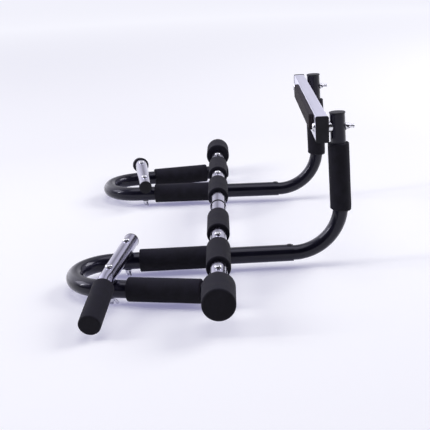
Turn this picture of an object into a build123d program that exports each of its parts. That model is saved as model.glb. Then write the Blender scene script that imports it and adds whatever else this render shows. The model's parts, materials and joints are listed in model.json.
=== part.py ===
"""Doorway pull-up bar: a foam-gripped main bar bolted over two looped arms that rise to a hook bar.

Millimetres. +X runs from the user to the door hook, +Y is the user's left, +Z is up.
Everything is laid out from the main bar's axis, then moved so that the origin is under the
middle of the part, on the plane of the bolt ends that it stands on.
"""
import os
from math import cos, pi, radians, sin, sqrt, tan

from build123d import *

# round tube: the posts and handles, the arms that the posts slide into, and the main bar
TUBE_R = 12.5
BAR_R = 14.0
WALL = 1.5
SLIP = 0.05
PLUG_SLIP = 0.08
TRIM = 5.0
SEAT_DEPTH = 3.0
SEAT_SLIP = 0.02

# bolts, washers and wing nuts
BOLT_R = 3.0
HOLE_R = 3.25
NUT_BORE_R = 3.05
BOLT_TIP = 0.6
HEAD_R = 6.0
HEAD_H = 3.8
HOOK_HEAD_R = 8.0
HOOK_HEAD_H = 4.2
DOME_SHARE = 0.8
BOLT_OUT = 11.0
HOOK_BOLT_OUT = 14.3
WASHER_R = 6.2
WASHER_T = 1.0
WASHER_SLIP = 0.2
NUT_HUB_R = 5.0
NUT_HUB_H = 5.0
NUT_CHAMFER = 0.7
WING_SPAN = 24.0
WING_TOP = 9.4
WING_T = 2.0
WING_FOOT = 0.8
WING_NECK = 1.2
WING_ROOT = 2.4
WING_TIP = 4.4
WING_RISE = 4.6
WING_ROUND = 1.1
SADDLE_R = 9.0
SADDLE_T = 4.45

# arms and loops, below the bar
INNER_ARM_Y = 210.0
TOE = radians(-1.3)
SPLAY = radians(11.0)
LOOP_R = 63.4
CAP_TO_SEAT = 0.8
ARM_GRIP_R = 19.0
ARM_GRIP_LEN = 116.0
INNER_GRIP_TO_BAR = 16.0
OUTER_GRIP_TO_BAR = 26.5
GRIP_TO_HANDLE = 16.2
HANDLE_TO_LOOP = 19.9
GRIP_RIM = 2.0

# main bar
BUMPER_GAP = 47.5
BUMPER_LEN = 72.0
BUMPER_END = 7.0
BUMPER_R_OUT = 24.6
BUMPER_R_IN = 25.3
BUMPER_RIM = 3.0
BAR_CHAMFER = 0.8
JOINT_GAP = 0.8
BAR_PLUG_T = 2.0
BAR_PLUG_DEPTH = 12.0
SLEEVE_HALF = 60.0
SLEEVE_WALL = 2.0
BAR_GRIP_R = 19.6
BAR_GRIP_LEN = 101.0
INNER_GRIP_TO_ARM = 41.5
OUTER_GRIP_TO_ARM = 29.5

# posts
POST_X = 204.4
POST_BEND_R = 79.4
POST_LEAN = radians(1.5)
POST_PROUD = 0.8
POST_INSERT = 45.0
POST_GRIP_R = 17.4
POST_GRIP_LEN = 112.4
GRIP_ON_BEND = 9.9
ARM_MOUTH_TO_BEND = 1.0
PIN_TO_MOUTH = 6.0
PIN_HOLE_R = 3.2
PIN_HEAD_R = 4.4
PIN_HEAD_H = 0.4
PIN_SKIRT = 1.0
PIN_STEM = 5.0

# caps pushed into round tubes
LID_T = 2.2
LID_RIM = 0.8
LID_STEM = 8.0
POST_LIP = 0.7
HANDLE_LIP = 0.3

# hook bar, rectangular tube
HOOK_Z0 = 164.2
HOOK_T = 20.0
HOOK_H = 42.0
HOOK_OVERHANG = 22.0
HOOK_WALL = 1.2
HOOK_CORNER = 2.5
HOOK_CAP_T = 2.0
HOOK_CAP_LIP = 0.7
HOOK_CAP_STEM = 12.0
HOOK_CAP_SLIP = 0.1
PAD_T = 8.5
PAD_H = 25.0
PAD_LEN = 310.0
PAD_TO_BOLT = 13.4
PAD_DROP = 2.0
PAD_RIM = 1.2

# wide handles, seated on top of the arms
HANDLE_Y = 177.5
HANDLE_AZ = radians(6.7)
HANDLE_STRAIGHT = 193.0
HANDLE_DROP = radians(12.5)
HANDLE_BEND_R = 60.0
HANDLE_WALL = 2.0
HANDLE_GRIP_R = 17.2
HANDLE_GRIP_FROM = 17.0
HANDLE_GRIP_LEN = 100.0
HANDLE_GRIP_END = 5.0
HANDLE_GRIP_RIM = 2.2

SIDES = {"left": 1.0, "right": -1.0}

# how far each wing nut on an arm is turned, by the tube that its bolt holds
NUT_TURNS = {"bar_inner": 20, "bar_outer": -30, "handle_inner": 65, "handle_outer": 10, "hook": 90}

# what follows from the sizes above
ARM_R = TUBE_R + SLIP + WALL
ARM_Z = SEAT_DEPTH - BAR_R - ARM_R
HANDLE_Z = ARM_Z + ARM_R + TUBE_R - SEAT_DEPTH
ARM_END_X = sqrt((BAR_R + SEAT_SLIP + WALL) ** 2 - (BAR_R + WALL - SEAT_DEPTH) ** 2) + LID_STEM + CAP_TO_SEAT
HANDLE_X = -(INNER_GRIP_TO_BAR + ARM_GRIP_LEN + GRIP_TO_HANDLE)
LOOP_X = HANDLE_X - HANDLE_TO_LOOP
ARM_SPREAD = LOOP_R / cos(TOE) + LOOP_R / cos(SPLAY) - LOOP_X * (tan(SPLAY) - tan(TOE))
OUTER_ARM_Y = INNER_ARM_Y + ARM_SPREAD
BAR_HALF = OUTER_ARM_Y + BUMPER_GAP + BUMPER_LEN
BAR_TUBE_HALF = BAR_HALF - BUMPER_END - BAR_PLUG_T


def arm_y(x):
    """The inner arm's axis, also in the plane of the post."""
    return INNER_ARM_Y + tan(TOE) * x


def outer_y(x):
    return OUTER_ARM_Y + tan(SPLAY) * x


def handle_crossing(slope, arm):
    """Where the handle's axis crosses an arm of this slope, as x."""
    return HANDLE_X - tan(HANDLE_AZ) * (arm(HANDLE_X) - HANDLE_Y) / (1 + tan(HANDLE_AZ) * tan(slope))


HX_INNER = handle_crossing(TOE, arm_y)
HX_OUTER = handle_crossing(SPLAY, outer_y)

BEND_TURN = pi / 2 + POST_LEAN
BEND_X = POST_X - POST_BEND_R
POST_FOOT_X = BEND_X + POST_BEND_R * sin(BEND_TURN)
POST_FOOT_Z = ARM_Z + POST_BEND_R * (1 - cos(BEND_TURN))
POST_TOP = HOOK_Z0 + HOOK_H + POST_PROUD
ARM_MOUTH_X = BEND_X - ARM_MOUTH_TO_BEND
PIN_X = ARM_MOUTH_X - PIN_TO_MOUTH


def post_x(z):
    return POST_FOOT_X - tan(POST_LEAN) * (z - POST_FOOT_Z)


def post_y(z):
    return arm_y(post_x(z))


HOOK_MID_Z = HOOK_Z0 + HOOK_H / 2
HOOK_BOLT_Y = post_y(HOOK_MID_Z)
HOOK_X1 = post_x(HOOK_MID_Z) - TUBE_R / cos(POST_LEAN) - SADDLE_T
HOOK_X0 = HOOK_X1 - HOOK_T
HOOK_HALF = HOOK_BOLT_Y + HOOK_OVERHANG
PAD_Y0 = -(HOOK_BOLT_Y - PAD_TO_BOLT)

# plane beside the leaning post that a flat washer rests on
NUT_SEAT_X = post_x(HOOK_MID_Z) + TUBE_R / cos(POST_LEAN) + WASHER_R * tan(POST_LEAN)
HOOK_BOLT_END = NUT_SEAT_X + HOOK_BOLT_OUT

FLOOR = ARM_Z - ARM_R - BOLT_OUT
X_MIN = LOOP_X - LOOP_R - ARM_R
X_MID = (X_MIN + HOOK_BOLT_END) / 2
TO_ORIGIN = Location((-X_MID, 0, -FLOOR))

# every place where a tube lies across an arm
CROSSINGS = {
    "bar_inner": (0.0, arm_y(0)),
    "bar_outer": (0.0, outer_y(0)),
    "handle_inner": (HX_INNER, arm_y(HX_INNER)),
    "handle_outer": (HX_OUTER, outer_y(HX_OUTER)),
}


def rod(start, end, radius):
    """A solid round bar from one point to another."""
    a = Vector(*start)
    run = Vector(*end) - a
    return extrude(Plane(origin=a, z_dir=run) * Circle(radius), run.length)


def pipe(start, end, radius, bore):
    """A round tube from one point to another."""
    a = Vector(*start)
    run = Vector(*end) - a
    ring = Plane(origin=a, z_dir=run) * (Circle(radius) - Circle(bore))
    return extrude(ring, run.length)


def round_edges(shape):
    return [e for e in shape.edges() if e.geom_type == GeomType.CIRCLE]


def soft_rim(shape, radius, amount):
    """Round the outer end edges of a sleeve."""
    return fillet([e for e in round_edges(shape) if abs(e.radius - radius) < SLIP], amount)


def on_side(shape, side):
    """The left side's shape, or its mirror image for the right side."""
    return shape if side > 0 else mirror(shape, Plane.XZ)


def swept(pieces, start, heading, radius):
    """A solid round bar along a chain of lines and arcs."""
    path = Wire([p.edge() for p in pieces])
    at = Plane(origin=Vector(*start), z_dir=Vector(*heading))
    return sweep(at * Circle(radius), path=path)


def bent_tube(pieces, start, heading, wall):
    """A bent tube of the smaller size."""
    bore = swept(pieces, start, heading, TUBE_R - wall)
    return swept(pieces, start, heading, TUBE_R) - bore


def upright_hole(x, y):
    """A cutter straight down through the bar or handle and the arm below it."""
    return rod((x, y, ARM_Z - ARM_R - TRIM), (x, y, BAR_R + TRIM), HOLE_R)


# ---- main bar -------------------------------------------------------------------------------

def bar_half(side):
    start = side * JOINT_GAP / 2
    tube = pipe((0, start, 0), (0, side * BAR_TUBE_HALF, 0), BAR_R, BAR_R - WALL)
    joint = [e for e in round_edges(tube) if abs(e.arc_center.Y - start) < SLIP and e.radius > BAR_R - SLIP]
    tube = chamfer(joint, BAR_CHAMFER)
    for y in (INNER_ARM_Y, OUTER_ARM_Y):
        tube -= upright_hole(0, side * y)
    return tube


def joint_sleeve():
    radius = BAR_R - WALL - SLIP
    return pipe((0, -SLEEVE_HALF, 0), (0, SLEEVE_HALF, 0), radius, radius - SLEEVE_WALL)


def bar_end_plug(side):
    face = BAR_TUBE_HALF
    flange = rod((0, side * face, 0), (0, side * (face + BAR_PLUG_T), 0), BAR_R)
    stem = rod((0, side * (face - BAR_PLUG_DEPTH), 0), (0, side * face, 0), BAR_R - WALL - PLUG_SLIP)
    return flange + stem


def bar_grip(start):
    """A sleeve on the left half of the bar, from this distance outward."""
    return grip_on(Vector(0, start, 0), Vector(0, 1, 0), BAR_GRIP_LEN, BAR_GRIP_R, BAR_R)


def bumper():
    """A drum that slips over the bar's end, with a closed and slightly narrower outer end."""
    rim = BAR_HALF - BUMPER_LEN
    pocket = BAR_HALF - BUMPER_END
    outline = Polyline(
        (BAR_R + SLIP, rim),
        (BUMPER_R_IN, rim),
        (BUMPER_R_OUT, BAR_HALF),
        (0, BAR_HALF),
        (0, pocket),
        (BAR_R + SLIP, pocket),
        close=True,
    )
    drum = revolve(make_face(outline), Axis.Y)
    return fillet([e for e in round_edges(drum) if e.radius > BAR_R + TRIM], BUMPER_RIM)


# ---- arms and loops -------------------------------------------------------------------------

def loop_path():
    """Centre line from the free end, round the loop and along the inner arm to its mouth."""
    free = Vector(ARM_END_X, outer_y(ARM_END_X), ARM_Z)
    middle = Vector(LOOP_X, arm_y(LOOP_X) + LOOP_R / cos(TOE), ARM_Z)
    a0 = pi / 2 + SPLAY
    a1 = 3 * pi / 2 + TOE
    loop = [middle + Vector(cos(a), sin(a), 0) * LOOP_R for a in (a0, (a0 + a1) / 2, a1)]
    mouth = Vector(ARM_MOUTH_X, arm_y(ARM_MOUTH_X), ARM_Z)
    pieces = [Line(free, loop[0]), ThreePointArc(*loop), Line(loop[2], mouth)]
    return pieces, free, loop[0] - free


def pressed_seat(arm, skin, a, b, radius):
    """Press the arm's wall in where a tube of this radius lies across it, from a to b."""
    sheet = skin & rod(a, b, radius + SEAT_SLIP + WALL)
    return arm + sheet - rod(a, b, radius + SEAT_SLIP)


def loop_tube():
    skin = swept(*loop_path(), ARM_R)
    tube = skin - swept(*loop_path(), ARM_R - WALL)
    bar = (Vector(0, INNER_ARM_Y - 2 * ARM_R, 0), Vector(0, OUTER_ARM_Y + 2 * ARM_R, 0))
    start, corner, out, down = handle_points()
    handle = (start, corner)
    tube = pressed_seat(tube, skin, *bar, BAR_R)
    tube = pressed_seat(tube, skin, *handle, TUBE_R)
    for x, y in CROSSINGS.values():
        tube -= upright_hole(x, y)
    return tube - pin_hole()


# ---- posts, which slide into the inner arms -------------------------------------------------

def post_foot():
    return Vector(POST_FOOT_X, arm_y(POST_FOOT_X), POST_FOOT_Z)


def post_end():
    return Vector(post_x(POST_TOP), post_y(POST_TOP), POST_TOP)


def pin_hole():
    """A cutter through the upper walls of the arm and the post tube in it."""
    y = arm_y(PIN_X)
    return rod((PIN_X, y, ARM_Z), (PIN_X, y, ARM_Z + ARM_R + TRIM), PIN_HOLE_R)


def post_tube():
    x = ARM_MOUTH_X - POST_INSERT
    start = Vector(x, arm_y(x), ARM_Z)
    bend = []
    for a in (0, BEND_TURN / 2, BEND_TURN):
        x = BEND_X + POST_BEND_R * sin(a)
        bend.append(Vector(x, arm_y(x), ARM_Z + POST_BEND_R * (1 - cos(a))))
    pieces = [Line(start, bend[0]), ThreePointArc(*bend), Line(bend[2], post_end())]
    tube = bent_tube(pieces, start, bend[0] - start, WALL) - pin_hole()
    front = (HOOK_X1, HOOK_BOLT_Y, HOOK_MID_Z)
    back = (HOOK_BOLT_END, HOOK_BOLT_Y, HOOK_MID_Z)
    return tube - rod(front, back, HOLE_R)


def hole_plug():
    """The low button that fills the pin hole and holds the post tube in the arm."""
    x = PIN_X
    y = arm_y(x)
    skin = ARM_Z + ARM_R
    along = 2 * PIN_HEAD_R
    arm = rod((x - along, arm_y(x - along), ARM_Z), (x + along, arm_y(x + along), ARM_Z), ARM_R + SEAT_SLIP)
    head = rod((x, y, skin - PIN_SKIRT), (x, y, skin + PIN_HEAD_H), PIN_HEAD_R)
    head = fillet(head.edges().sort_by(Axis.Z)[-1], PIN_HEAD_H * DOME_SHARE) - arm
    stem = rod((x, y, skin - PIN_STEM), (x, y, skin), PIN_HOLE_R - PLUG_SLIP)
    return (head + stem).solid()


# ---- caps and foam sleeves ------------------------------------------------------------------

def round_cap(end, outward, lip, radius, bore):
    """A push-in cap: a thin flange over the tube's end and a stem inside it."""
    way = outward.normalized()
    flange = soft_rim(rod(end, end + way * LID_T, radius + lip), radius + lip, LID_RIM)
    stem = rod(end - way * LID_STEM, end, bore - PLUG_SLIP)
    return flange + stem


def arm_cap():
    end = Vector(ARM_END_X, outer_y(ARM_END_X), ARM_Z)
    return round_cap(end, Vector(cos(SPLAY), sin(SPLAY), 0), 0.0, ARM_R, ARM_R - WALL)


def post_cap():
    return round_cap(post_end(), post_end() - post_foot(), POST_LIP, TUBE_R, TUBE_R - WALL)


def grip_on(start, way, length, radius, tube):
    grip = pipe(start, start + way * length, radius, tube + SLIP)
    return soft_rim(grip, radius, GRIP_RIM)


def inner_arm_grip():
    way = Vector(cos(TOE), sin(TOE), 0)
    end = Vector(-INNER_GRIP_TO_BAR, arm_y(-INNER_GRIP_TO_BAR), ARM_Z)
    return grip_on(end - way * ARM_GRIP_LEN, way, ARM_GRIP_LEN, ARM_GRIP_R, ARM_R)


def outer_arm_grip():
    way = Vector(cos(SPLAY), sin(SPLAY), 0)
    end = Vector(-OUTER_GRIP_TO_BAR, outer_y(-OUTER_GRIP_TO_BAR), ARM_Z)
    return grip_on(end - way * ARM_GRIP_LEN, way, ARM_GRIP_LEN, ARM_GRIP_R, ARM_R)


def post_grip():
    """The post's sleeve; its mouth is wide enough to run onto the end of the bend."""
    way = (post_end() - post_foot()).normalized()
    start = post_foot() - way * GRIP_ON_BEND
    grip = grip_on(start, way, POST_GRIP_LEN, POST_GRIP_R, TUBE_R)
    lean = GRIP_ON_BEND / POST_BEND_R
    mouth = TUBE_R / cos(lean) + POST_BEND_R * (1 - cos(lean)) + SLIP
    return grip - rod(start - way * SLIP, post_foot(), mouth)


# ---- wide handles ---------------------------------------------------------------------------

def handle_points():
    """Start, bend corner and the two headings of the handle."""
    start = Vector(HANDLE_X, HANDLE_Y, HANDLE_Z)
    out = Vector(-sin(HANDLE_AZ), cos(HANDLE_AZ), 0)
    down = out * cos(HANDLE_DROP) - Vector(0, 0, sin(HANDLE_DROP))
    return start, start + out * HANDLE_STRAIGHT, out, down


def wide_handle():
    start, corner, out, down = handle_points()
    reach = HANDLE_BEND_R * tan(HANDLE_DROP / 2)
    middle = corner - (down - out).normalized() * -HANDLE_BEND_R * (1 / cos(HANDLE_DROP / 2) - 1)
    end = corner + down * (HANDLE_GRIP_FROM + HANDLE_GRIP_LEN - HANDLE_GRIP_END)
    pieces = [
        Line(start, corner - out * reach),
        ThreePointArc(corner - out * reach, middle, corner + down * reach),
        Line(corner + down * reach, end),
    ]
    tube = bent_tube(pieces, start, out, HANDLE_WALL)
    for name in ("handle_inner", "handle_outer"):
        tube -= upright_hole(*CROSSINGS[name])
    return tube


def handle_cap():
    start, corner, out, down = handle_points()
    return round_cap(start, out * -1, HANDLE_LIP, TUBE_R, TUBE_R - HANDLE_WALL)


def handle_grip():
    """A sleeve with a closed outer end."""
    start, corner, out, down = handle_points()
    a = corner + down * HANDLE_GRIP_FROM
    b = a + down * HANDLE_GRIP_LEN
    grip = rod(a, b, HANDLE_GRIP_R) - rod(a - down, b - down * HANDLE_GRIP_END, TUBE_R + SLIP)
    return soft_rim(grip, HANDLE_GRIP_R, HANDLE_GRIP_RIM)


# ---- hook bar -------------------------------------------------------------------------------

def hook_profile(grow, corner):
    """The tube's section at its right end, drawn larger or smaller all round."""
    middle = (HOOK_X0 + HOOK_T / 2, -HOOK_HALF + HOOK_CAP_T, HOOK_MID_Z)
    at = Plane(origin=middle, x_dir=(1, 0, 0), z_dir=(0, 1, 0))
    return at * RectangleRounded(HOOK_T + 2 * grow, HOOK_H + 2 * grow, corner)


def hook_bar():
    section = hook_profile(0, HOOK_CORNER) - hook_profile(-HOOK_WALL, HOOK_CORNER - HOOK_WALL)
    tube = extrude(section, 2 * (HOOK_HALF - HOOK_CAP_T))
    for side in SIDES.values():
        y = side * HOOK_BOLT_Y
        tube -= rod((HOOK_X0 - TRIM, y, HOOK_MID_Z), (HOOK_X1 + TRIM, y, HOOK_MID_Z), HOLE_R)
    return tube


def hook_cap(side):
    lid = extrude(hook_profile(HOOK_CAP_LIP, HOOK_CORNER + HOOK_CAP_LIP), -HOOK_CAP_T)
    inset = HOOK_WALL + HOOK_CAP_SLIP
    lid += extrude(hook_profile(-inset, HOOK_CORNER - inset), HOOK_CAP_STEM)
    return on_side(lid, -side)


def wall_pad():
    face = HOOK_X0 - PAD_T
    middle = ((face + HOOK_X0) / 2, PAD_Y0 + PAD_LEN / 2, HOOK_Z0 + HOOK_H - PAD_DROP - PAD_H / 2)
    pad = Pos(middle) * Box(PAD_T, PAD_LEN, PAD_H)
    return fillet(pad.faces().sort_by(Axis.X)[0].edges(), PAD_RIM)


def saddle_washers():
    """Spacers with a flat side on the hook bar and a hollow side on each post."""
    out = []
    for side in SIDES.values():
        y = side * HOOK_BOLT_Y
        reach = post_x(HOOK_MID_Z)
        block = rod((HOOK_X1, y, HOOK_MID_Z), (reach, y, HOOK_MID_Z), SADDLE_R)
        low = HOOK_MID_Z - 2 * SADDLE_R
        high = HOOK_MID_Z + 2 * SADDLE_R
        block -= rod((post_x(low), y, low), (post_x(high), y, high), TUBE_R + SEAT_SLIP)
        block -= rod((HOOK_X1 - TRIM, y, HOOK_MID_Z), (reach, y, HOOK_MID_Z), HOLE_R)
        out.append(max(block.solids(), key=lambda s: s.volume))
    return Compound(out)


# ---- fasteners ------------------------------------------------------------------------------

def bolt(head_r, head_h, length):
    """A domed bolt along +Z, with the underside of its head at the origin."""
    head = Cylinder(head_r, head_h, align=(Align.CENTER, Align.CENTER, Align.MIN))
    head = fillet(head.edges().sort_by(Axis.Z)[-1], head_h * DOME_SHARE)
    shank = rod((0, 0, -length), (0, 0, 0), BOLT_R)
    return head + chamfer(shank.edges().sort_by(Axis.Z)[0], BOLT_TIP)


def upright_bolts(kind, top):
    """The bolts down through one kind of tube, from its top, and the arms, on both sides."""
    out = []
    for name, (x, y) in CROSSINGS.items():
        if name.startswith(kind):
            for side in SIDES.values():
                out.append((Pos((x, side * y, top)) * bolt(HEAD_R, HEAD_H, top - FLOOR)).solid())
    return Compound(out)


def hook_bolts():
    out = []
    for side in SIDES.values():
        turned = Pos((HOOK_X0, side * HOOK_BOLT_Y, HOOK_MID_Z)) * Rot(0, -90, 0)
        out.append((turned * bolt(HOOK_HEAD_R, HOOK_HEAD_H, HOOK_BOLT_END - HOOK_X0)).solid())
    return Compound(out)


def nut_seat(name, side, out):
    """The place of a washer or nut on a bolt, this far out from the tube, with +Z outward."""
    if name == "hook":
        return Pos((NUT_SEAT_X + out, side * HOOK_BOLT_Y, HOOK_MID_Z)) * Rot(0, 90, 0)
    x, y = CROSSINGS[name]
    return Pos((x, side * y, ARM_Z - ARM_R - out)) * Rot(180, 0, 0)


def washers():
    disc = Cylinder(WASHER_R, WASHER_T, align=(Align.CENTER, Align.CENTER, Align.MIN))
    disc -= Cylinder(BOLT_R + WASHER_SLIP, 4 * WASHER_T)
    return Compound([(nut_seat(n, s, 0) * disc).solid() for n in NUT_TURNS for s in SIDES.values()])


def wing_nut(name, side):
    """A wing nut on its bolt, just off the washer."""
    hub = Cylinder(NUT_HUB_R, NUT_HUB_H, align=(Align.CENTER, Align.CENTER, Align.MIN))
    hub = chamfer(hub.edges().sort_by(Axis.Z)[-1], NUT_CHAMFER)
    half = WING_SPAN / 2
    ear = make_face(Polyline(
        (NUT_HUB_R - WING_ROOT, WING_FOOT),
        (NUT_HUB_R + WING_NECK, WING_FOOT),
        (half - WING_NECK, WING_TOP - WING_RISE),
        (half, WING_TOP - WING_T),
        (half - WING_T, WING_TOP),
        (half - WING_TIP, WING_TOP),
        (NUT_HUB_R - WING_FOOT, NUT_HUB_H - WING_FOOT),
        (NUT_HUB_R - WING_ROOT, NUT_HUB_H - WING_FOOT),
        close=True,
    ))
    tips = [v for v in ear.vertices() if v.X > NUT_HUB_R + WING_NECK + SLIP]
    wing = extrude(Plane.XZ * fillet(tips, WING_ROUND), WING_T / 2, both=True)
    nut = hub + wing + mirror(wing, Plane.YZ) - Cylinder(NUT_BORE_R, 6 * NUT_HUB_H)
    return nut_seat(name, side, WASHER_T + SLIP) * Rot(0, 0, NUT_TURNS[name]) * nut


# ---- everything -----------------------------------------------------------------------------

parts = {
    "joint_sleeve": joint_sleeve(),
    "hook_bar": hook_bar(),
    "wall_pad": wall_pad(),
    "saddle_washers": saddle_washers(),
    "main_bar_bolts": upright_bolts("bar", BAR_R),
    "handle_bolts": upright_bolts("handle", HANDLE_Z + TUBE_R),
    "hook_bolts": hook_bolts(),
    "washers": washers(),
}
left = {
    "bar_grip_inner": bar_grip(INNER_ARM_Y - INNER_GRIP_TO_ARM - BAR_GRIP_LEN),
    "bar_grip_outer": bar_grip(INNER_ARM_Y + OUTER_GRIP_TO_ARM),
    "bumper": bumper(),
    "loop_tube": loop_tube(),
    "post_tube": post_tube(),
    "arm_cap": arm_cap(),
    "post_cap": post_cap(),
    "arm_grip_inner": inner_arm_grip(),
    "arm_grip_outer": outer_arm_grip(),
    "post_grip": post_grip(),
    "hole_plugs": hole_plug(),
    "wide_handle": wide_handle(),
    "handle_cap": handle_cap(),
    "handle_grip": handle_grip(),
}
for name, side in SIDES.items():
    parts["main_bar_" + name] = bar_half(side)
    parts["bar_end_plug_" + name] = bar_end_plug(side)
    parts["hook_cap_" + name] = hook_cap(side)
    for kind, shape in left.items():
        parts[kind + "_" + name] = on_side(shape, side)
    for spot in NUT_TURNS:
        parts["wing_nut_" + spot + "_" + name] = wing_nut(spot, side)

os.makedirs("parts", exist_ok=True)
for name, shape in parts.items():
    export_step(TO_ORIGIN * shape, "parts/" + name + ".step")
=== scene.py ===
"""Looks for the doorway pull-up bar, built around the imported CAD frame. Metres, +Z up."""
import json
import math

import bmesh
import bpy
from mathutils import Matrix, Vector, noise

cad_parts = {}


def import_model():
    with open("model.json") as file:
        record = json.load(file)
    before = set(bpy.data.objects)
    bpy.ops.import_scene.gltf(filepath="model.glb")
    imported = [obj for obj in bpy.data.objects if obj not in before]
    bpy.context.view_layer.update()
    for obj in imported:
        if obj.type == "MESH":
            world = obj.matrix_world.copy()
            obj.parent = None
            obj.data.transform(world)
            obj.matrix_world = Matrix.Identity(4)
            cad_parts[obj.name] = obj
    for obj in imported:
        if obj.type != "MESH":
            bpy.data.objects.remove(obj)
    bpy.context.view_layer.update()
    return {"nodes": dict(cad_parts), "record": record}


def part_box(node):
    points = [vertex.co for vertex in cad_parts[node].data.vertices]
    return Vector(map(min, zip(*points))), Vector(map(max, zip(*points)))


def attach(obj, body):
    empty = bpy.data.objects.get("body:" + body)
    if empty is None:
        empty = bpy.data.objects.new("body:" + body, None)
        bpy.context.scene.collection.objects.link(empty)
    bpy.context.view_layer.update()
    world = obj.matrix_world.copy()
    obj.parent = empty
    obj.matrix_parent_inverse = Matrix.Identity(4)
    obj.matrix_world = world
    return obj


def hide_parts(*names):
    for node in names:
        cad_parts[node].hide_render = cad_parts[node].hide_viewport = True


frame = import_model()
NODES = frame["nodes"]
RECORD = frame["record"]
SIDES = {"left": 1.0, "right": -1.0}
MM = 0.001

# sizes that the foam pieces share with the model
TUBE_R = 12.5 * MM
BAR_R = 14.0 * MM
ARM_R = 14.05 * MM
SLIP = 0.05 * MM
POST_SLIP = 0.1 * MM
TOE = math.radians(-1.3)
SPLAY = math.radians(11.0)
ARM_GRIP_LEN = 116.0 * MM
POST_GRIP_LEN = 112.4 * MM
POST_LEAN = math.radians(1.5)
POST_BEND_R = 79.4 * MM
GRIP_ON_BEND = 9.9 * MM
HANDLE_AZ = math.radians(6.7)
HANDLE_DROP = math.radians(12.5)
HANDLE_GRIP_LEN = 100.0 * MM
HANDLE_GRIP_END = 5.0 * MM
BUMPER_END = 7.0 * MM
BUMPER_TAPER = 0.7 * MM

# foam skins: how round their edges are, and how far the surface strays
SLEEVE_RIM = 2.4 * MM
HANDLE_RIM = 2.6 * MM
BUMPER_RIM = 3.2 * MM
RIM_STEPS = 7
SKIN_STEP = 2.2 * MM
AROUND = 96
UNEVEN = 0.16 * MM
MOUTH_DEPTH = 0.25 * MM
MOUTH_BEVEL = 0.5 * MM
FACE_DISH = 0.12 * MM
FAR_DISH = 0.05 * MM
FAR_STEPS = 9
PINHOLE = 0.02 * MM

# share of the unevenness that each part of a skin takes
RIM_SHARE = 0.6
FACE_SHARE = 0.2
FAR_SHARE = 0.15

# the pad's strip of foam
PAD_RIM = 2.0 * MM
PAD_RIM_STEPS = 6
PAD_INSETS = (1.0, 2.5, 4.5, 7.0, 9.5)
PAD_SPLITS = (60, 8)
PAD_DENT = 0.22 * MM

# dark ring over the bar's joint, a painted shadow of the step there, and the bolts' threads
RING_R = 14.8 * MM
RING_WIDTH = 4.0 * MM
RING_EDGE = 0.2 * MM
RING_GAP = 0.02 * MM
BOLT_R = 3.0 * MM
BOLT_OUT = 11.0 * MM
NUT_END = 6.05 * MM
PITCH = 1.0 * MM
RIDGE = 0.28 * MM
RIDGE_SINK = 0.1 * MM
THREAD_SIDES = 20
THREAD_TIP = 0.9 * MM
THREAD_SHORT = 1.2 * MM


# ---- materials ------------------------------------------------------------------------------

class Graph:
    """A short way to write a node tree."""

    def __init__(self, tree):
        self.tree = tree

    def put(self, socket, source):
        """Links another node's output to a socket, or sets the socket's own value."""
        if hasattr(source, "is_output"):
            self.tree.links.new(source, socket)
        else:
            socket.default_value = source

    def node(self, kind, inputs=None, **settings):
        n = self.tree.nodes.new(kind)
        for key, value in settings.items():
            setattr(n, key, value)
        for key, source in (inputs or {}).items():
            self.put(n.inputs[key], source)
        return n

    def calculate(self, operation, *inputs):
        return self.node("ShaderNodeMath", dict(enumerate(inputs)), operation=operation).outputs[0]

    def ramp(self, value, stops):
        r = self.node("ShaderNodeValToRGB", {"Fac": value})
        elements = r.color_ramp.elements
        while len(elements) < len(stops):
            elements.new(0.5)
        for element, (at, colour) in zip(elements, stops):
            element.position = at
            element.color = (*colour, 1.0)
        return r.outputs["Color"]

    def scale(self, value, low, high, at_low=0.3, at_high=0.7, curve="LINEAR"):
        """The value, stretched so that at_low gives low and at_high gives high."""
        reach = {"From Min": at_low, "From Max": at_high, "To Min": low, "To Max": high}
        n = self.node("ShaderNodeMapRange", {"Value": value, **reach}, interpolation_type=curve)
        return n.outputs["Result"]


class Skin(Graph):
    """A material with one principled shader."""

    def __init__(self, name):
        self.mat = bpy.data.materials.new(name)
        self.mat.use_nodes = True
        super().__init__(self.mat.node_tree)
        self.tree.nodes.clear()
        self.bsdf = self.node("ShaderNodeBsdfPrincipled")
        self.node("ShaderNodeOutputMaterial", {"Surface": self.bsdf.outputs[0]})
        self.place = self.node("ShaderNodeTexCoord").outputs["Object"]

    def set(self, **values):
        for key, value in values.items():
            self.bsdf.inputs[key.replace("_", " ")].default_value = value

    def noise(self, scale, detail, rough, stretch=None):
        place = self.place
        if stretch:
            place = self.node("ShaderNodeMapping", {"Scale": stretch, "Vector": place}).outputs[0]
        grain = {"Scale": scale, "Detail": detail, "Roughness": rough, "Vector": place}
        return self.node("ShaderNodeTexNoise", grain).outputs["Fac"]

    def pores(self, scale):
        cells = {"Scale": scale, "Smoothness": 0.4, "Vector": self.place}
        return self.node("ShaderNodeTexVoronoi", cells, feature="SMOOTH_F1").outputs["Distance"]

    def sum(self, a, b, share):
        return self.calculate("MULTIPLY_ADD", b, share, a)

    def bump(self, height, depth, strength):
        lift = {"Strength": strength, "Distance": depth, "Height": height}
        self.put(self.bsdf.inputs["Normal"], self.node("ShaderNodeBump", lift).outputs[0])

    def paint(self, colour, roughness):
        self.put(self.bsdf.inputs["Base Color"], colour)
        self.put(self.bsdf.inputs["Roughness"], roughness)


def foam(name, dark, light, pore=1700.0):
    """Closed-cell foam: a matte skin of fine pores with faint larger mottling."""
    g = Skin(name)
    pores = g.pores(pore)
    grain = g.noise(pore * 0.55, 3.0, 0.65)
    mottle = g.noise(60.0, 3.0, 0.55)
    tone = g.sum(mottle, grain, 0.35)
    g.paint(g.ramp(tone, [(0.45, dark), (0.9, light)]), g.scale(mottle, 0.72, 0.88))
    g.bump(g.sum(grain, pores, 0.9), 0.16 * MM, 0.75)
    g.set(Sheen_Weight=0.04, Sheen_Roughness=0.4, Specular_IOR_Level=0.16)
    return g.mat


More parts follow.
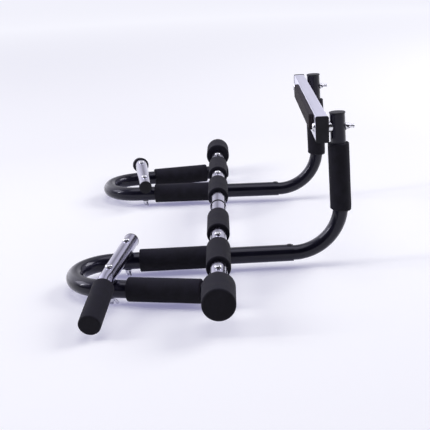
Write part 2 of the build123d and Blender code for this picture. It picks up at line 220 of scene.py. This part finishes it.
def gloss_paint():
    """Powder-coated tube under a clear gloss, with slight orange peel."""
    g = Skin("gloss_black_paint")
    peel = g.noise(420.0, 2.0, 0.5)
    haze = g.noise(26.0, 3.0, 0.6)
    tones = [(0.3, (0.0036, 0.0032, 0.0086)), (0.75, (0.0068, 0.0061, 0.0150))]
    g.paint(g.ramp(haze, tones), g.scale(haze, 0.34, 0.42))
    g.bump(peel, 0.03 * MM, 0.4)
    g.set(Coat_Weight=1.0, Coat_Roughness=0.08, Coat_IOR=1.3, Specular_IOR_Level=0.18)
    g.set(Specular_Tint=(0.72, 0.70, 1.0, 1.0))
    return g.mat


def chrome(name, dark, light, smooth, rough):
    """Plated tube: bright, a little streaked along its length, with fine dust."""
    g = Skin(name)
    streaks = g.noise(90.0, 3.0, 0.6, stretch=(1.0, 0.06, 1.0))
    dust = g.noise(1500.0, 2.0, 0.7)
    haze = g.scale(g.sum(streaks, dust, 0.5), smooth, rough, 0.4, 1.0)
    g.paint(g.ramp(streaks, [(0.3, dark), (0.7, light)]), haze)
    g.bump(dust, 0.012 * MM, 0.4)
    g.set(Metallic=1.0)
    return g.mat


def plastic():
    """Moulded caps: fine spark-eroded texture."""
    g = Skin("moulded_plastic")
    grain = g.noise(1300.0, 3.0, 0.6)
    wide = g.noise(70.0, 2.0, 0.5)
    tones = [(0.3, (0.007, 0.0068, 0.0115)), (0.7, (0.0115, 0.011, 0.018))]
    g.paint(g.ramp(wide, tones), g.scale(grain, 0.36, 0.52))
    g.bump(grain, 0.05 * MM, 0.5)
    g.set(Specular_IOR_Level=0.25)
    return g.mat


def zinc():
    """Bright zinc-plated fasteners with faint turning marks."""
    g = Skin("bright_zinc")
    marks = g.noise(700.0, 2.0, 0.6, stretch=(1.0, 1.0, 6.0))
    tint = g.noise(180.0, 2.0, 0.5)
    tones = [(0.3, (0.66, 0.66, 0.70)), (0.7, (0.80, 0.80, 0.82))]
    g.paint(g.ramp(tint, tones), g.scale(marks, 0.16, 0.3))
    g.bump(marks, 0.02 * MM, 0.5)
    g.set(Metallic=1.0)
    return g.mat


LOOKS = {
    "bar_chrome": chrome("plated_tube", (0.40, 0.39, 0.50), (0.50, 0.485, 0.61), 0.1, 0.2),
    "black_paint": gloss_paint(),
    "grip_foam": foam("grip_foam_skin", (0.0084, 0.0078, 0.0130), (0.0185, 0.0172, 0.0272)),
    "pad_foam": foam("pad_foam_skin", (0.017, 0.0135, 0.0175), (0.035, 0.0285, 0.036), 1200.0),
    "black_plastic": plastic(),
    "zinc_steel": zinc(),
}


def dress(obj, look):
    obj.data.materials.clear()
    obj.data.materials.append(LOOKS[look])


for part in RECORD["subparts"]:
    dress(NODES[part["node"]], part["material_slot"])

# the hook bar's plating is duller (satin roughness); its paler colour is painted light, a lit copy
# of the round bars' plating for its up-facing top catching the overhead light
pale_lit_plating = chrome("pale_lit_plated_tube", (0.82, 0.82, 0.95), (0.88, 0.88, 1.0), 0.3, 0.4)
NODES["hook_bar"].data.materials[0] = pale_lit_plating


# ---- meshes ---------------------------------------------------------------------------------

def add_object(name, data):
    obj = bpy.data.objects.new(name, data)
    bpy.context.scene.collection.objects.link(obj)
    return obj


def finish_piece(bm, name, look, *nodes):
    """Turns a mesh in the making into a piece of the frame that stands for these nodes."""
    mesh = bpy.data.meshes.new(name)
    bmesh.ops.recalc_face_normals(bm, faces=bm.faces)
    bm.to_mesh(mesh)
    bm.free()
    for face in mesh.polygons:
        face.use_smooth = True
    obj = add_object(name, mesh)
    dress(obj, look)
    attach(obj, "frame")
    if nodes:
        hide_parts(*nodes)
    return obj


def skin(bm, rings, closed=False):
    """Joins rings of points. The last joins the first, or both get a flat face."""
    pairs = list(zip(rings, rings[1:]))
    if closed:
        pairs.append((rings[-1], rings[0]))
    for low, high in pairs:
        n = len(low)
        for k in range(n):
            bm.faces.new((low[k], low[(k + 1) % n], high[(k + 1) % n], high[k]))
    if not closed:
        bm.faces.new(rings[0])
        bm.faces.new(rings[-1])


def frame_at(way):
    """Two directions square to this one."""
    side = way.cross(Vector((0, 0, 1)))
    if side.length < 0.1:
        side = way.cross(Vector((0, 1, 0)))
    side.normalize()
    return side, side.cross(way).normalized()


def swell(angle, along, seed):
    """Slow unevenness of a stretched-on sleeve, from -1 to 1."""
    return noise.noise(Vector((math.cos(angle) * 1.1, math.sin(angle) * 1.1, along * 38.0 + seed)))


def lathe(bm, path, profile, seed=0.0):
    """Rings along a path, by a profile of distance, radius and share of the unevenness."""
    rings = []
    for along, radius, share in profile:
        middle, way = path(along)
        u, v = frame_at(way)
        ring = []
        for k in range(AROUND):
            a = 2 * math.pi * k / AROUND
            r = radius + UNEVEN * swell(a, along, seed) * share
            ring.append(bm.verts.new(middle + (u * math.cos(a) + v * math.sin(a)) * r))
        rings.append(ring)
    return rings


def straight(start, way):
    return lambda along: (start + way * along, way)


def middle_of(node):
    low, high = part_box(node)
    return (low + high) / 2


def half_size(node, axis):
    low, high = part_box(node)
    return (high[axis] - low[axis]) / 2


# ---- foam pieces ----------------------------------------------------------------------------

def rounded(along, radius, rim, inward):
    """A rounded edge, from the end face to the outer skin. inward is +1 or -1."""
    out = []
    for k in reversed(range(RIM_STEPS + 1)):
        t = math.pi / 2 * k / RIM_STEPS
        inset = inward * rim * (1 - math.sin(t))
        out.append((along + inset, radius - rim * (1 - math.cos(t)), RIM_SHARE))
    return out


def mouth(radius, bore, rim):
    """The open end: from just inside the bore over the face and round the edge."""
    points = [(MOUTH_DEPTH, bore, 0.0), (0.0, bore + MOUTH_BEVEL, 0.0)]
    points.append((FACE_DISH, (bore + radius) / 2, FACE_SHARE))
    return points + rounded(0.0, radius, rim, 1)


def outside(length, radius, far_radius, rim):
    """The outer skin between the two rounded edges."""
    run = length - 2 * rim
    count = max(4, round(run / SKIN_STEP))
    shares = [k / count for k in range(1, count)]
    return [(rim + run * s, radius + (far_radius - radius) * s, 1.0) for s in shares]


def sleeve_profile(length, radius, bore, rim):
    """A sleeve with two open ends."""
    near = mouth(radius, bore, rim)
    far = [(length - along, r, share) for along, r, share in near]
    return near + outside(length, radius, radius, rim) + far[::-1]


def cup_profile(length, radius, far_radius, bore, rim, end):
    """A sleeve with its far end closed: from its pocket's floor round to the far face's middle."""
    points = [(length - end, PINHOLE, 0.0), (length - end, bore, 0.0)]
    points += mouth(radius, bore, rim) + outside(length, radius, far_radius, rim)
    points += rounded(length, far_radius, rim, -1)[::-1]
    for k in range(1, FAR_STEPS + 1):
        share = k / FAR_STEPS
        dish = FAR_DISH * math.sin(share * math.pi)
        points.append((length - dish, (far_radius - rim) * (1 - share) + PINHOLE, FAR_SHARE))
    return points


def foam_piece(node, path, profile, seed, closed):
    bm = bmesh.new()
    skin(bm, lathe(bm, path, profile, seed), closed)
    obj = finish_piece(bm, "foam_" + node, "grip_foam", node)


def sleeve(node, path, length, radius, bore, seed):
    profile = sleeve_profile(length, radius, bore + SLIP, SLEEVE_RIM)
    foam_piece(node, path, profile, seed, True)


def centred(node, way, length):
    """A straight path of this length through the middle of a node."""
    return straight(middle_of(node) - way * length / 2, way)


def onto_bend(node, way, inward):
    """The post's sleeve: straight, with its lowest part following the bend of the tube."""
    foot = middle_of(node) - way * (POST_GRIP_LEN / 2 - GRIP_ON_BEND)

    def path(along):
        rest = along - GRIP_ON_BEND
        if rest >= 0:
            return foot + way * rest, way
        turn = -rest / POST_BEND_R
        back = way * math.sin(turn) - inward * (1 - math.cos(turn))
        place = foot - back * POST_BEND_R
        return place, (way * math.cos(turn) - inward * math.sin(turn)).normalized()

    return path


def side_foam(side_name, side):
    """All of one side's sleeves and its drum."""
    for where, seed in (("inner", 1.0), ("outer", 5.0)):
        node = "bar_grip_" + where + "_" + side_name
        length = 2 * half_size(node, 1)
        path = centred(node, Vector((0, 1, 0)), length)
        sleeve(node, path, length, half_size(node, 0), BAR_R, seed + side)

    for where, turn, seed in (("inner", TOE, 11.0), ("outer", SPLAY, 15.0)):
        node = "arm_grip_" + where + "_" + side_name
        path = centred(node, Vector((math.cos(turn), side * math.sin(turn), 0)), ARM_GRIP_LEN)
        sleeve(node, path, ARM_GRIP_LEN, half_size(node, 2), ARM_R, seed + side)

    node = "post_grip_" + side_name
    inward = Vector((-1, -side * math.tan(TOE), 0)).normalized()
    way = (Vector((0, 0, 1)) + inward * math.tan(POST_LEAN)).normalized()
    radius = half_size(node, 1) - POST_GRIP_LEN / 2 * abs(way.y)
    path = onto_bend(node, way, inward)
    sleeve(node, path, POST_GRIP_LEN, radius, TUBE_R + POST_SLIP, 21.0 + side)

    node = "handle_grip_" + side_name
    level = Vector((-math.sin(HANDLE_AZ), side * math.cos(HANDLE_AZ), 0))
    way = level * math.cos(HANDLE_DROP) - Vector((0, 0, math.sin(HANDLE_DROP)))
    tilt = HANDLE_GRIP_LEN / 2 * math.sin(HANDLE_DROP)
    radius = (half_size(node, 2) - tilt) / math.cos(HANDLE_DROP)
    bore = TUBE_R + SLIP
    cup = cup_profile(HANDLE_GRIP_LEN, radius, radius, bore, HANDLE_RIM, HANDLE_GRIP_END)
    foam_piece(node, centred(node, way, HANDLE_GRIP_LEN), cup, 31.0 + side, False)

    node = "bumper_" + side_name
    length = 2 * half_size(node, 1)
    radius = half_size(node, 2)
    bore = BAR_R + SLIP
    cup = cup_profile(length, radius, radius - BUMPER_TAPER, bore, BUMPER_RIM, BUMPER_END)
    foam_piece(node, centred(node, Vector((0, side, 0)), length), cup, 41.0 + side, False)


def outline(y0, y1, z0, z1):
    """Points once round a rectangle."""
    wide, tall = PAD_SPLITS
    points = [(y0 + (y1 - y0) * k / wide, z0) for k in range(wide)]
    points += [(y1, z0 + (z1 - z0) * k / tall) for k in range(tall)]
    points += [(y1 + (y0 - y1) * k / wide, z1) for k in range(wide)]
    return points + [(y0, z1 + (z0 - z1) * k / tall) for k in range(tall)]


def pad():
    """The foam strip: flat on the hook bar, with soft edges and a slightly uneven face."""
    low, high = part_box("wall_pad")
    depth = high.x - low.x
    levels = [(high.x, 0.0), (high.x - depth * 0.35, 0.0)]
    for k in range(PAD_RIM_STEPS + 1):
        t = math.pi / 2 * k / PAD_RIM_STEPS
        x = high.x - (depth - PAD_RIM) - PAD_RIM * math.sin(t)
        levels.append((x, PAD_RIM * (1 - math.cos(t))))
    levels += [(low.x, PAD_RIM + extra * MM) for extra in PAD_INSETS]
    bm = bmesh.new()
    rings = []
    for x, inset in levels:
        ring = []
        for y, z in outline(low.y + inset, high.y - inset, low.z + inset, high.z - inset):
            dent = 0.0
            if x < high.x - depth / 2:
                dent = PAD_DENT * abs(noise.noise(Vector((y * 45, z * 60, 3.0))))
            ring.append(bm.verts.new((x + dent, y, z)))
        rings.append(ring)
    skin(bm, rings)
    obj = finish_piece(bm, "foam_wall_pad", "pad_foam", "wall_pad")


# ---- dark ring painting the shadow at the joint, and threads --------------------------------

def painted_joint_shadow_ring():
    """A thin black ring where the two halves of the main bar meet: painted shade for the shadow
    and dark rim at the step between them.
    """
    half = RING_WIDTH / 2
    foot = BAR_R + RING_GAP
    shape = [(-half, foot), (-half, RING_R - RING_EDGE), (RING_EDGE - half, RING_R)]
    shape += [(half - RING_EDGE, RING_R), (half, RING_R - RING_EDGE), (half, foot)]
    bm = bmesh.new()
    path = straight(middle_of("joint_sleeve"), Vector((0, 1, 0)))
    skin(bm, lathe(bm, path, [(along, radius, 0.0) for along, radius in shape]), True)
    finish_piece(bm, "painted_joint_shadow_ring", "black_plastic")


def thread(name, tip, way, length):
    """The visible end of a bolt's thread, as one helical ridge that fades at both ends."""
    u, v = frame_at(way)
    foot = BOLT_R - RIDGE_SINK
    bm = bmesh.new()
    rings = []
    steps = round(length / PITCH * THREAD_SIDES)
    for k in range(steps + 1):
        a = 2 * math.pi * k / THREAD_SIDES
        fade = min(1.0, k / THREAD_SIDES * 2, (steps - k) / THREAD_SIDES * 2)
        out = u * math.cos(a) + v * math.sin(a)
        middle = tip - way * (length * k / steps)
        crest = BOLT_R + RIDGE * max(fade, 0.05)
        section = [(foot, -0.42), (crest, -0.07), (crest, 0.07), (foot, 0.42)]
        rings.append([bm.verts.new(middle + out * r + way * (w * PITCH)) for r, w in section])
    skin(bm, rings)
    finish_piece(bm, name, "zinc_steel")


def threads():
    """One at the free end of every bolt, found from the wing nut that turns on it."""
    for joint in RECORD["behaviour"]["joints"]:
        nut = joint["child"]
        tip = middle_of(nut)
        if nut.startswith("wing_nut_hook"):
            way = Vector((1, 0, 0))
            tip.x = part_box("hook_bolts")[1].x
        else:
            way = Vector((0, 0, -1))
            tip.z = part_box("main_bar_bolts")[0].z
        length = BOLT_OUT - NUT_END - THREAD_SHORT
        thread("thread_" + joint["name"], tip - way * THREAD_TIP, way, length)


# ---- stage ----------------------------------------------------------------------------------

CAMERA_PLACE = (0.0296, -1.7684, 0.5581)
CAMERA_YAW = 0.0155
CAMERA_PITCH = 0.2875
CAMERA_ROLL = 0.0494
CAMERA_LENS = 82.54
CAMERA_REACH = 100.0

# what the floor is and what it adds for the camera, near the part and further away
FLOOR_HALF = 30.0
FLOOR_COLOUR = (0.78, 0.79, 0.64)
FLOOR_GLOW = (0.225, 0.22, 0.375)
FAR_GLOW = (0.71, 0.71, 0.81)
HORIZON_GLOW = (0.77, 0.77, 0.87)
GLOW_FROM = 0.9
GLOW_TO = 9.0
FAR_AT = 0.43

# the studio round it: the strength of its light, and of what reflections show by direction
WORLD_COLOUR = (0.91, 0.90, 1.0)
WORLD_LIGHT = 0.18
ACROSS = (-0.7, 0.5)
ACROSS_GREYS = [(0.0, 0.6), (0.21, 0.55), (0.33, 0.33), (0.55, 0.14), (0.67, 0.27)]
ACROSS_GREYS += [(0.84, 0.33), (0.87, 0.01), (0.95, 0.01), (1.0, 0.17)]
BEHIND = (-0.2, 0.5)
BEHIND_LIGHT = (0.12, 3.0)

# name: size, power, place, aim, colour
LAMPS = {
    "overhead": ((2.0, 2.0), 28.0, (-0.1, -0.3, 2.8), (0, -0.1, 0), (0.90, 0.89, 1.0)),
    "left": ((1.7, 1.45), 36.0, (-2.7, -0.1, 1.95), (0, 0, 0.05), (0.90, 0.89, 1.0)),
    "back_right": ((1.8, 1.8), 73.0, (2.6, 1.1, 2.1), (0, 0, 0.05), (0.91, 0.90, 1.0)),
    "strip": ((0.14, 0.8), 9.0, (-2.3, -0.5, 1.15), (0.1, 0, 0.1), (0.93, 0.92, 1.0)),
}


def area(name, size, power, place, aim, colour):
    lamp = bpy.data.lights.new(name, "AREA")
    lamp.shape = "RECTANGLE"
    lamp.size, lamp.size_y = size
    lamp.energy = power
    lamp.color = colour
    obj = add_object(name, lamp)
    obj.location = place
    obj.rotation_euler = (Vector(aim) - Vector(place)).to_track_quat("-Z", "Y").to_euler()


def camera():
    facing = Vector((-math.sin(CAMERA_YAW), math.cos(CAMERA_YAW), 0))
    ahead = facing * math.cos(CAMERA_PITCH) - Vector((0, 0, math.sin(CAMERA_PITCH)))
    level = Vector((math.cos(CAMERA_YAW), math.sin(CAMERA_YAW), 0))
    down = ahead.cross(level)
    right = level * math.cos(CAMERA_ROLL) + down * math.sin(CAMERA_ROLL)
    low = down * math.cos(CAMERA_ROLL) - level * math.sin(CAMERA_ROLL)
    data = bpy.data.cameras.new("camera")
    data.sensor_width = 36.0
    data.lens = CAMERA_LENS
    data.clip_end = CAMERA_REACH
    obj = add_object("camera", data)
    turn = Matrix((right, -low, -ahead)).transposed()
    obj.matrix_world = Matrix.Translation(CAMERA_PLACE) @ turn.to_4x4()
    bpy.context.scene.camera = obj


def floor():
    """Pale paper that takes the shadow and looks whiter to the camera than it shines."""
    mesh = bpy.data.meshes.new("floor")
    bm = bmesh.new()
    bmesh.ops.create_grid(bm, x_segments=1, y_segments=1, size=FLOOR_HALF)
    bm.to_mesh(mesh)
    bm.free()
    obj = add_object("floor", mesh)
    mat = bpy.data.materials.new("pale_floor")
    mat.use_nodes = True
    g = Graph(mat.node_tree)
    g.tree.nodes.clear()
    path = g.node("ShaderNodeLightPath").outputs
    seen = g.calculate("MAXIMUM", path["Is Camera Ray"], path["Is Glossy Ray"])
    seen = g.calculate("MAXIMUM", seen, path["Is Transmission Ray"])
    place = g.node("ShaderNodeTexCoord").outputs["Object"]
    reach = g.node("ShaderNodeVectorMath", {0: place}, operation="LENGTH").outputs["Value"]
    far = g.scale(reach, 0.0, 1.0, GLOW_FROM, GLOW_TO)
    tone = g.ramp(far, [(0.0, FLOOR_GLOW), (FAR_AT, FAR_GLOW), (1.0, HORIZON_GLOW)])
    diffuse = g.node("ShaderNodeBsdfDiffuse", {"Color": (*FLOOR_COLOUR, 1)}).outputs[0]
    glow = g.node("ShaderNodeEmission", {"Color": tone, "Strength": seen}).outputs[0]
    both = g.node("ShaderNodeAddShader", {0: diffuse, 1: glow}).outputs[0]
    g.node("ShaderNodeOutputMaterial", {"Surface": both})
    mesh.materials.append(mat)


def world():
    """A studio that is white to the camera, and brighter behind and to the left in reflections."""
    w = bpy.data.worlds.new("studio")
    bpy.context.scene.world = w
    w.use_nodes = True
    g = Graph(w.node_tree)
    path = g.node("ShaderNodeLightPath").outputs
    ray = g.node("ShaderNodeTexCoord").outputs["Generated"]
    way = g.node("ShaderNodeSeparateXYZ", {0: ray}).outputs
    greys = [(at, (grey, grey, grey)) for at, grey in ACROSS_GREYS]
    shade = g.ramp(g.scale(way["X"], 0.0, 1.0, *ACROSS), greys)
    behind = g.scale(way["Y"], *BEHIND_LIGHT, *BEHIND, "SMOOTHSTEP")
    both = g.calculate("MULTIPLY", shade, behind)
    mirrored = {"Factor": path["Is Glossy Ray"], "A": WORLD_LIGHT, "B": both}
    level = g.node("ShaderNodeMix", mirrored).outputs["Result"]
    looked_at = {"Factor": path["Is Camera Ray"], "A": level, "B": 1.0}
    shown = g.node("ShaderNodeMix", looked_at).outputs["Result"]
    back = g.tree.nodes["Background"]
    g.put(back.inputs["Color"], (*WORLD_COLOUR, 1))
    g.put(back.inputs["Strength"], shown)


for side_name, side in SIDES.items():
    side_foam(side_name, side)
pad()
painted_joint_shadow_ring()
threads()
camera()
floor()
world()
for name, lamp in LAMPS.items():
    area(name, *lamp)
bpy.context.scene.view_settings.view_transform = "Standard"
